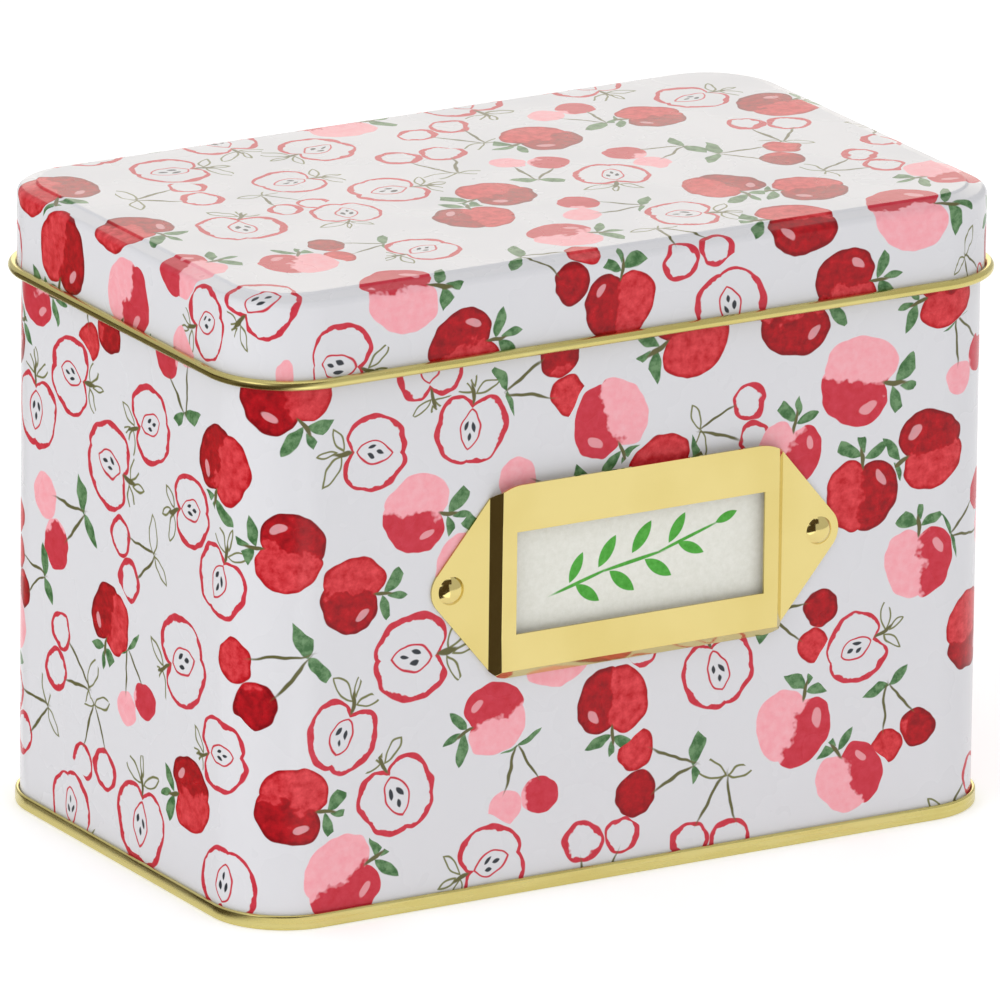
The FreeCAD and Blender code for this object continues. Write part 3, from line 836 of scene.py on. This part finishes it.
def lay_print(piece, place_of):
    """Gives the piece the flat map that its print is laid on, in metres of sheet."""
    layer = piece.data.uv_layers.new(name="print")
    for face in piece.data.polygons:
        for loop in face.loop_indices:
            point = piece.data.vertices[piece.data.loops[loop].vertex_index].co
            layer.data[loop].uv = place_of(point, face.center)


def give_thickness(piece, finishes, is_outside_face):
    """Turns the middle surface's faces to the printed side, and gives the sheet its thickness.

    The first finish is the printed side's and the last one is the other side's and the cut edge's.
    """
    for finish in finishes:
        piece.data.materials.append(bpy.data.materials[finish])
    edit_piece(piece)
    bpy.ops.mesh.select_all(action="SELECT")
    bpy.ops.mesh.normals_make_consistent(inside=False)
    leave_edit()
    sample = next(face for face in piece.data.polygons if is_outside_face(face.center))
    outward, _ = nearest_on_wall(sample.center.x, sample.center.y)
    level = sample.normal.z if abs(sample.normal.z) > LYING_FLAT else sample.normal.xy.dot(outward)
    if level < 0:
        edit_piece(piece)
        bpy.ops.mesh.select_all(action="SELECT")
        bpy.ops.mesh.flip_normals()
        leave_edit()
    apply_modifier(
        piece, "SOLIDIFY", thickness=sizes().sheet, offset=0, use_even_offset=True,
        use_quality_normals=True, material_offset=len(finishes) - 1, material_offset_rim=len(finishes) - 1,
    )


def finish_piece(piece, body, node):
    """Smooths the piece, checks that it is inside its node's box, and ties it to the frame."""
    pick(piece)
    bpy.ops.object.shade_smooth_by_angle(angle=SMOOTH_BELOW)
    apply_modifier(piece, "WEIGHTED_NORMAL", keep_sharp=True)
    low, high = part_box(node)
    for axis in range(3):
        reach = [vertex.co[axis] for vertex in piece.data.vertices]
        if min(reach) < low[axis] - FRAME_TOLERANCE or max(reach) > high[axis] + FRAME_TOLERANCE:
            raise RuntimeError(f"{piece.name} reaches {min(reach)} to {max(reach)}, outside {node}")
    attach(piece, body)
    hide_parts(node)


def soften_edges(piece, width):
    """Takes the sharpness off the active piece's edges."""
    apply_modifier(
        piece, "BEVEL", width=width, segments=2, limit_method="ANGLE", angle_limit=SHARP_EDGE,
    )


def seam_places():
    """Outward places of the layers in the foot seam, and the heights of its two turns."""
    size = sizes()
    middle = -size.sheet / 2
    pitch = size.sheet + SEAM_LAYER_GAP
    return {
        "pitch": pitch,
        "chuck": middle - pitch,
        "body hook": middle + 2 * pitch,
        "seam wall": middle + 3 * pitch,
        "low turn": size.sheet / 2 + 2 * pitch,
        "high turn": size.seam_height - size.sheet / 2 - pitch,
    }


def curl_degrees(diameter):
    """How far a sheet is rolled until its edge comes back to the wall that it started from."""
    outer = diameter / 2
    middle = outer - sizes().sheet / 2
    return 360.0 - math.degrees(math.acos((middle - sizes().sheet / 2 - CURL_END_GAP) / outer))


def close_plate(piece, height, outward):
    """Fills the hole inside a plate's edge loop."""
    edit_piece(piece)
    select_where(
        piece, "edges",
        lambda spot: meets(spot.z, height)
        and abs(nearest_on_wall(spot.x, spot.y)[1] - outward) < PLATE_EDGE_REACH,
    )
    bpy.ops.mesh.edge_face_add()
    leave_edit()


class RECIPETIN_OT_body_wall(bpy.types.Operator):
    """Bends and joins the printed wall with its rim curl and its side seam"""

    bl_idname = "recipetin.body_wall"
    bl_label = "Body wall"

    def execute(self, context):
        size, seam = sizes(), seam_places()
        rim_top = size.tin_height - size.sheet - LID_SEAT_GAP
        section = BentSheet("body_wall_printed", seam["body hook"], seam["high turn"] - SEAM_TUCK, -90)
        section.run_to_height(seam["low turn"])
        section.bend(seam["pitch"], -180)
        section.run_to_height(rim_top - size.rim_curl / 2)
        section.bend((size.rim_curl - size.sheet) / 2, curl_degrees(size.rim_curl))
        piece = section.carry_round_the_tin()

        # Groove where the two ends of the sheet meet
        back = size.body_depth / 2 - size.sheet / 2
        for shift in (-1, 0, 1):
            edit_piece(piece)
            select_where(piece, "polygons", lambda spot: spot.y > corner_centre()[1])
            bpy.ops.mesh.bisect(
                plane_co=(SIDE_SEAM_JOINT + shift * SIDE_SEAM_GROOVE / 2, 0, 0), plane_no=(1, 0, 0),
                threshold=CUT_THRESHOLD,
            )
            leave_edit()
        edit_piece(piece)
        select_where(
            piece, "vertices",
            lambda spot: meets(spot.x, SIDE_SEAM_JOINT) and meets(spot.y, back)
            and spot.z > size.seam_height,
        )
        bpy.ops.transform.translate(value=(0, -SIDE_SEAM_GROOVE_DEPTH, 0))
        leave_edit()
        lay_print(piece, along_the_print)
        give_thickness(
            piece, ("printed_tinplate", "gold_lacquer_on_tinplate"),
            lambda spot: abs(spot.z - size.tin_height / 2) < size.tin_height / 4,
        )

        # Folds of the side seam, which stand on the inside of the back
        low = size.floor_height + size.sheet + SIDE_SEAM_INSET
        high = rim_top - size.rim_curl - SIDE_SEAM_INSET
        depth = SIDE_SEAM_LAYERS * size.sheet + SIDE_SEAM_SINK
        bpy.ops.object.select_all(action="DESELECT")
        bpy.ops.mesh.primitive_cube_add(
            size=1, scale=(SIDE_SEAM_WIDTH, depth, high - low),
            location=(0, size.body_depth / 2 - size.sheet + SIDE_SEAM_SINK - depth / 2, (low + high) / 2),
        )
        folds = context.active_object
        settle()
        edit_piece(folds)
        select_where(folds, "edges", lambda spot: spot.y < size.body_depth / 2 - size.sheet - depth / 2)
        bpy.ops.mesh.bevel(offset=SIDE_SEAM_EDGE, segments=3, affect="EDGES")
        leave_edit()
        folds.data.materials.append(bpy.data.materials["gold_lacquer_on_tinplate"])
        piece.select_set(True)
        context.view_layer.objects.active = piece
        bpy.ops.object.join()
        finish_piece(piece, "tin", "body_wall")
        return {"FINISHED"}


class RECIPETIN_OT_base_panel(bpy.types.Operator):
    """Bends the floor and folds its edge round the hook of the wall"""

    bl_idname = "recipetin.base_panel"
    bl_label = "Base panel"

    def execute(self, context):
        size, seam = sizes(), seam_places()
        bead_start = seam["chuck"] - BEAD_INSET
        floor = size.floor_height + size.sheet / 2
        section = BentSheet("base_panel_lacquered", bead_start, floor + BEAD_RISE, 0)
        section.step_down(BEAD_RISE, BEAD_BEND, BEAD_SLOPE)
        section.run_to_outward(seam["chuck"] - FLOOR_BEND)
        section.bend(FLOOR_BEND, -90)
        section.run_to_height(size.sheet / 2 + size.seam_foot)
        section.bend(size.seam_foot, 90)
        section.run_to_outward(seam["seam wall"] - size.seam_foot)
        section.bend(size.seam_foot, 90)
        section.run_to_height(seam["high turn"])
        section.bend(seam["pitch"], 180)
        section.run_to_height(seam["low turn"] + SEAM_TUCK)
        piece = section.carry_round_the_tin()
        close_plate(piece, floor + BEAD_RISE, bead_start)
        lay_print(piece, lambda point, middle: (along_the_wall(point.x, point.y), point.z))
        give_thickness(
            piece, ("gold_lacquer_on_tinplate",),
            lambda spot: spot.z > floor + BEAD_RISE - MERGE_DISTANCE,
        )
        finish_piece(piece, "tin", "base_panel")
        return {"FINISHED"}


class RECIPETIN_OT_lid(bpy.types.Operator):
    """Presses the lid: raised panel, shoulder, skirt and the edge rolled outwards"""

    bl_idname = "recipetin.lid"
    bl_label = "Lid"

    def execute(self, context):
        size = sizes()
        skirt = size.lid_play + size.sheet / 2
        edge_bend = size.lid_edge - size.sheet / 2
        top = size.tin_height - size.sheet / 2
        fall, steep = math.radians(LID_SHOULDER_FALL), math.radians(LID_STEP_SLOPE)
        edge_start = skirt - edge_bend * (1 - math.sin(fall))
        edge_height = top - edge_bend * (1 - math.cos(fall))
        step_foot = edge_height + size.lid_shoulder * math.tan(fall)
        bends = LID_STEP_BEND * (1 + math.cos(fall) - 2 * math.cos(steep))
        slope = (top + size.lid_rise - step_foot - bends) / math.sin(steep)
        step_width = LID_STEP_BEND * (2 * math.sin(steep) - math.sin(fall)) + slope * math.cos(steep)
        panel_edge = edge_start - size.lid_shoulder - step_width
        section = BentSheet("lid_printed", panel_edge, top + size.lid_rise, 0)
        section.bend(LID_STEP_BEND, -LID_STEP_SLOPE).run(slope)
        section.bend(LID_STEP_BEND, LID_STEP_SLOPE - LID_SHOULDER_FALL)
        section.run(size.lid_shoulder / math.cos(fall))
        section.bend(edge_bend, LID_SHOULDER_FALL - 90)
        section.run_to_height(size.tin_height - size.lid_depth + size.lid_curl / 2)
        section.bend((size.lid_curl - size.sheet) / 2, curl_degrees(size.lid_curl))
        piece = section.carry_round_the_tin()
        close_plate(piece, top + size.lid_rise, panel_edge)

        def print_place(point, face_middle):
            outward, outside = nearest_on_wall(point.x, point.y)
            used = section.sheet_used_at(outside, point.z)
            return point.xy + outward * (used - (outside - panel_edge))

        lay_print(piece, print_place)
        give_thickness(
            piece, ("printed_tinplate", "gold_lacquer_on_tinplate"),
            lambda spot: spot.z > top + size.lid_rise - MERGE_DISTANCE,
        )
        finish_piece(piece, "lid", "lid")
        return {"FINISHED"}


def convex_outline():
    """Points and outward directions of the lines that trim the holder's blank, seen from the front.

    They run from the middle of the top round to the right-hand tip and on to the middle of the foot.
    """
    size = sizes()
    fold = size.holder_face / 2 + size.holder_stand_off
    half_ear = size.ear_height / 2
    foot = size.holder_below + size.holder_stand_off
    tip_centre = fold + size.ear_reach - size.ear_tip
    run = tip_centre - fold
    slant = math.atan2(half_ear, run) - math.asin(size.ear_tip / math.hypot(run, half_ear))
    lines = []
    for level, radius, up in ((size.holder_above, HOLDER_TOP_ARC, 1), (foot, HOLDER_FOOT_ARC, -1)):
        drop = level - half_ear
        inward = math.sqrt(radius ** 2 - (radius - drop) ** 2)
        turn = math.asin(inward / radius)
        for step in range(OUTLINE_STEPS + 1):
            angle = turn * step / OUTLINE_STEPS
            direction = Vector((math.sin(angle), math.cos(angle)))
            spot = Vector((fold - inward, level - radius)) + direction * radius
            lines.append((spot.x, up * spot.y, direction.x, up * direction.y))
        for step in range(OUTLINE_STEPS + 1):
            angle = slant + (math.pi / 2 - slant) * step / OUTLINE_STEPS
            direction = Vector((math.sin(angle), math.cos(angle)))
            spot = Vector((tip_centre, 0)) + direction * size.ear_tip
            lines.append((spot.x, up * spot.y, direction.x, up * direction.y))
    return lines


def cut_line(x, height, across, up, trim=False):
    """Cuts the selected faces of the holder along a line, and may trim what is beyond it."""
    bpy.ops.mesh.bisect(
        plane_co=(x, 0, sizes().holder_middle + height), plane_no=(across, 0, up),
        clear_outer=trim, threshold=CUT_THRESHOLD,
    )


class RECIPETIN_OT_label_holder(bpy.types.Operator):
    """Cuts the card holder's blank, presses its tray and opens its window"""

    bl_idname = "recipetin.label_holder"
    bl_label = "Label holder"

    def execute(self, context):
        size = sizes()
        front = -size.body_depth / 2
        middle = Vector((0, front - size.holder_sheet / 2, size.holder_middle))
        half_face = size.holder_face / 2
        fold = half_face + size.holder_stand_off
        foot = size.holder_below + size.holder_stand_off
        bpy.ops.object.select_all(action="DESELECT")
        bpy.ops.mesh.primitive_plane_add(size=HOLDER_BLANK, location=middle, rotation=(math.pi / 2, 0, 0))
        piece = context.active_object
        piece.name = piece.data.name = "label_holder_brass"
        settle()
        edit_piece(piece)
        for x, height, across, up in convex_outline():
            for side in (1, -1):
                bpy.ops.mesh.select_all(action="SELECT")
                cut_line(side * x, height, side * across, up, trim=True)
        window_lines = [(side * size.window_width / 2, 0, 1, 0) for side in (1, -1)]
        window_lines += [(0, side * size.window_height / 2, 0, 1) for side in (1, -1)]
        fold_lines = [(side * place, 0, 1, 0) for side in (1, -1) for place in (half_face, fold)]
        fold_lines += [(0, -size.holder_below, 0, 1)]
        for line in window_lines + fold_lines:
            bpy.ops.mesh.select_all(action="SELECT")
            cut_line(*line)
        for side in (1, -1):
            select_where(
                piece, "polygons",
                lambda spot: half_face < side * spot.x < fold and spot.z < middle.z - size.holder_below,
            )
            cut_line(side * half_face, -size.holder_below, 1, side)

        def press_depth(spot):
            from_fold = fold - abs(spot.x)
            from_foot = spot.z - middle.z + foot
            return max(0.0, min(size.holder_stand_off, from_fold, from_foot))

        leave_edit()
        pressed = {round(press_depth(vertex.co), DEPTH_DIGITS) for vertex in piece.data.vertices}
        depths = sorted(pressed - {0.0})
        bpy.ops.object.mode_set(mode="EDIT")
        for depth in depths:
            select_where(
                piece, "vertices",
                lambda spot: round(press_depth(spot), DEPTH_DIGITS) == depth and meets(spot.y, middle.y),
            )
            bpy.ops.transform.translate(value=(0, -depth, 0))
        select_where(
            piece, "polygons",
            lambda spot: abs(spot.x) < size.window_width / 2
            and abs(spot.z - middle.z) < size.window_height / 2,
        )
        bpy.ops.mesh.delete(type="FACE")
        leave_edit()
        low = middle.z - size.holder_below
        weights = piece.data.attributes.new("bevel_weight_edge", "FLOAT", "EDGE")
        for edge in piece.data.edges:
            ends = [piece.data.vertices[end].co for end in edge.vertices]
            along_foot = all(meets(end.z, low) for end in ends)
            along_side = all(meets(abs(end.x), half_face) for end in ends)
            along_ear = all(meets(abs(end.x), fold) for end in ends)
            mitre = all(meets(abs(end.x) - half_face, low - end.z) for end in ends)
            if along_foot and abs(sum(ends, Vector()).x) < 2 * half_face:
                weights.data[edge.index].value = 1.0
            elif along_side or along_ear or mitre:
                weights.data[edge.index].value = HOLDER_BEND / HOLDER_FOOT_BEND
        apply_modifier(piece, "BEVEL", width=HOLDER_FOOT_BEND, segments=5, limit_method="WEIGHT")
        piece.data.materials.append(bpy.data.materials["brass_plating"])
        apply_modifier(piece, "SOLIDIFY", thickness=size.holder_sheet, offset=0, use_even_offset=True)
        soften_edges(piece, HOLDER_EDGE_SOFTENING)
        finish_piece(piece, "tin", "label_holder")
        return {"FINISHED"}


class RECIPETIN_OT_rivets(bpy.types.Operator):
    """Turns a domed rivet and sets one in each ear"""

    bl_idname = "recipetin.rivets"
    bl_label = "Rivets"

    def execute(self, context):
        size = sizes()
        head, rise = size.rivet_head / 2, size.rivet_rise
        dome = (head ** 2 + rise ** 2) / (2 * rise)
        spread = math.asin(head / dome)
        profile = [
            (dome * math.sin(turn), size.holder_sheet + rise - dome * (1 - math.cos(turn)))
            for turn in [spread * step / DOME_STEPS for step in range(DOME_STEPS + 1)]
        ]
        profile += [(RIVET_SHANK / 2, size.holder_sheet), (RIVET_SHANK / 2, -size.sheet)]
        profile.append((RIVET_TAIL / 2, -size.sheet))
        tail_end = -size.sheet - RIVET_TAIL_RISE
        bend = RIVET_TAIL_RISE / 2
        profile += [
            (RIVET_TAIL / 2 - bend * (1 - math.cos(turn)), tail_end + bend * (1 - math.sin(turn)))
            for turn in [math.pi / 2 * step / TAIL_STEPS for step in range(TAIL_STEPS + 1)]
        ]
        profile.append((0, tail_end))
        reach = size.holder_face / 2 + size.holder_stand_off + size.ear_reach - RIVET_TO_TIP
        for side, node in ((-1, "rivet_left"), (1, "rivet_right")):
            piece = first_vertex(node + "_domed", (0, 0, profile[0][1]))
            for (old_out, old_up), (out, up) in zip(profile, profile[1:]):
                step = (out - old_out, 0, up - old_up)
                bpy.ops.mesh.extrude_vertices_move(TRANSFORM_OT_translate={"value": step})
            bpy.ops.mesh.select_all(action="SELECT")
            bpy.ops.mesh.spin(steps=RIVET_STEPS, angle=2 * math.pi, center=(0, 0, 0), axis=(0, 0, 1))
            bpy.ops.mesh.select_all(action="SELECT")
            bpy.ops.mesh.remove_doubles(threshold=MERGE_DISTANCE)
            bpy.ops.mesh.normals_make_consistent(inside=False)
            leave_edit()
            piece.rotation_euler = (math.pi / 2, 0, 0)
            piece.location = (side * reach, -size.body_depth / 2, size.holder_middle)
            settle()
            piece.data.materials.append(bpy.data.materials["brass_plating"])
            finish_piece(piece, "tin", node)
        return {"FINISHED"}


class RECIPETIN_OT_label_card(bpy.types.Operator):
    """Cuts the label card that stands in the holder"""

    bl_idname = "recipetin.label_card"
    bl_label = "Label card"

    def execute(self, context):
        low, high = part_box("label_card")
        bpy.ops.object.select_all(action="DESELECT")
        bpy.ops.mesh.primitive_cube_add(size=1, location=(low + high) / 2, scale=high - low)
        piece = context.active_object
        piece.name = piece.data.name = "label_card_white"
        settle()
        edit_piece(piece)
        select_where(
            piece, "edges",
            lambda spot: meets(abs(spot.x), high.x)
            and min(spot.z - low.z, high.z - spot.z) < MERGE_DISTANCE,
        )
        bpy.ops.mesh.bevel(offset=CARD_CORNER, segments=5, affect="EDGES")
        leave_edit()
        piece.data.materials.append(bpy.data.materials["uncoated_card"])
        soften_edges(piece, CARD_EDGE_SOFTENING)
        finish_piece(piece, "card", "label_card")
        return {"FINISHED"}


class RECIPETIN_OT_finishes(bpy.types.Operator):
    """Makes the finishes of the tin"""

    bl_idname = "recipetin.finishes"
    bl_label = "Finishes"

    def execute(self, context):
        printed_tinplate()
        gold_lacquered_tinplate()
        brass_plating()
        card_stock()
        return {"FINISHED"}


def paint_stage(thing, colour, roughness, glow):
    """Gives a matt, plain and faintly glowing paint to a thing that is part of the studio: the floor, and
    the cards whose colour and glow paint reflections on the tin.
    """
    tree, shader = new_material(thing.name)
    fill_inputs(tree, shader, {
        "Base Color": colour, "Roughness": roughness, "Emission Color": colour, "Emission Strength": glow,
    })
    thing.data.materials.append(bpy.data.materials[thing.name])


class RECIPETIN_OT_stage(bpy.types.Operator):
    """Sets the studio floor, the lights and the camera"""

    bl_idname = "recipetin.stage"
    bl_label = "Stage"

    def execute(self, context):
        scene = context.scene
        bpy.ops.object.select_all(action="DESELECT")
        bpy.ops.mesh.primitive_plane_add(size=FLOOR_SIZE, location=(0, 0, 0))
        floor = context.active_object
        floor.name = "studio_floor"
        paint_stage(floor, colours().floor, FLOOR_ROUGHNESS, FLOOR_GLOW)

        for name, near, far, rise, colour, glow in REFLECTED_CARDS:
            near, far = Vector(near), Vector(far)
            bpy.ops.object.select_all(action="DESELECT")
            bpy.ops.mesh.primitive_plane_add(size=1, location=(near + far) / 2)
            card = context.active_object
            card.name = name
            card.scale = (far.x - near.x, far.y - near.y, 1)
            settle()
            if rise:
                edit_piece(card)
                select_where(card, "edges", lambda spot: meets(spot.x, near.x) or meets(spot.y, near.y))
                bpy.ops.mesh.extrude_edges_move(TRANSFORM_OT_translate={"value": (0, 0, rise)})
                leave_edit()
            # The cards give no light or shadow and hide from the camera: they only paint reflections on the
            # tin
            card.visible_camera = card.visible_diffuse = card.visible_shadow = False
            paint_stage(card, (*colour, 1), 1, glow)

        # The room is a little brighter overhead than at the horizon
        world = bpy.data.worlds.new("studio")
        world.use_nodes = True
        tree = world.node_tree
        sky = add_node(tree, SPLIT, (add_node(tree, PLACE).outputs["Generated"],)).outputs["Z"]
        glow = add_node(tree, RANGE, (sky, 0, 1, HORIZON_LIGHT, ZENITH_LIGHT))
        fill_inputs(tree, tree.nodes["Background"], {"Color": (1, 1, 1, 1), "Strength": glow})
        scene.world = world
        scene.view_settings.view_transform = "Standard"
        for name, place, size, power, tint in SOFTBOXES:
            bpy.ops.object.light_add(type="AREA", location=place)
            light = context.active_object
            light.name = name
            light.rotation_mode = "QUATERNION"
            light.rotation_quaternion = (-Vector(place)).to_track_quat("-Z", "Y")
            light.data.energy = power
            light.data.size = size
            light.data.color = tint
        level = math.cos(CAMERA_ELEVATION)
        back = Vector((
            math.sin(CAMERA_AZIMUTH) * level, -math.cos(CAMERA_AZIMUTH) * level, math.sin(CAMERA_ELEVATION),
        ))
        bpy.ops.object.camera_add(location=Vector(CAMERA_TARGET) + back * CAMERA_DISTANCE)
        camera = context.active_object
        camera.rotation_mode = "QUATERNION"
        upright = (-back).to_track_quat("-Z", "Y")
        camera.rotation_quaternion = upright @ Quaternion((0, 0, 1), CAMERA_ROLL)
        camera.data.sensor_width = CAMERA_SENSOR
        camera.data.lens = CAMERA_LENS
        scene.camera = camera
        return {"FINISHED"}


class RECIPETIN_PT_panel(bpy.types.Panel):
    """Lists the tin's pieces in the sidebar"""

    bl_label = "Recipe tin"
    bl_idname = "RECIPETIN_PT_panel"
    bl_space_type = "VIEW_3D"
    bl_region_type = "UI"
    bl_category = "Recipe Tin"

    def draw(self, context):
        for operator in OPERATORS:
            self.layout.operator(operator.bl_idname)


OPERATORS = (
    RECIPETIN_OT_finishes,
    RECIPETIN_OT_body_wall,
    RECIPETIN_OT_base_panel,
    RECIPETIN_OT_lid,
    RECIPETIN_OT_label_holder,
    RECIPETIN_OT_rivets,
    RECIPETIN_OT_label_card,
    RECIPETIN_OT_stage,
)
CLASSES = (RecipeTinSizes, RecipeTinColours, *OPERATORS, RECIPETIN_PT_panel)


def register():
    for each in CLASSES:
        bpy.utils.register_class(each)
    bpy.types.Scene.recipe_tin_sizes = PointerProperty(type=RecipeTinSizes)
    bpy.types.Scene.recipe_tin_colours = PointerProperty(type=RecipeTinColours)


def unregister():
    del bpy.types.Scene.recipe_tin_colours
    del bpy.types.Scene.recipe_tin_sizes
    for each in reversed(CLASSES):
        bpy.utils.unregister_class(each)


def main():
    register()
    bpy.ops.recipetin.finishes()
    bpy.ops.recipetin.body_wall()
    bpy.ops.recipetin.base_panel()
    bpy.ops.recipetin.lid()
    bpy.ops.recipetin.label_holder()
    bpy.ops.recipetin.rivets()
    bpy.ops.recipetin.label_card()
    bpy.ops.recipetin.stage()


if __name__ == "__main__":
    main()
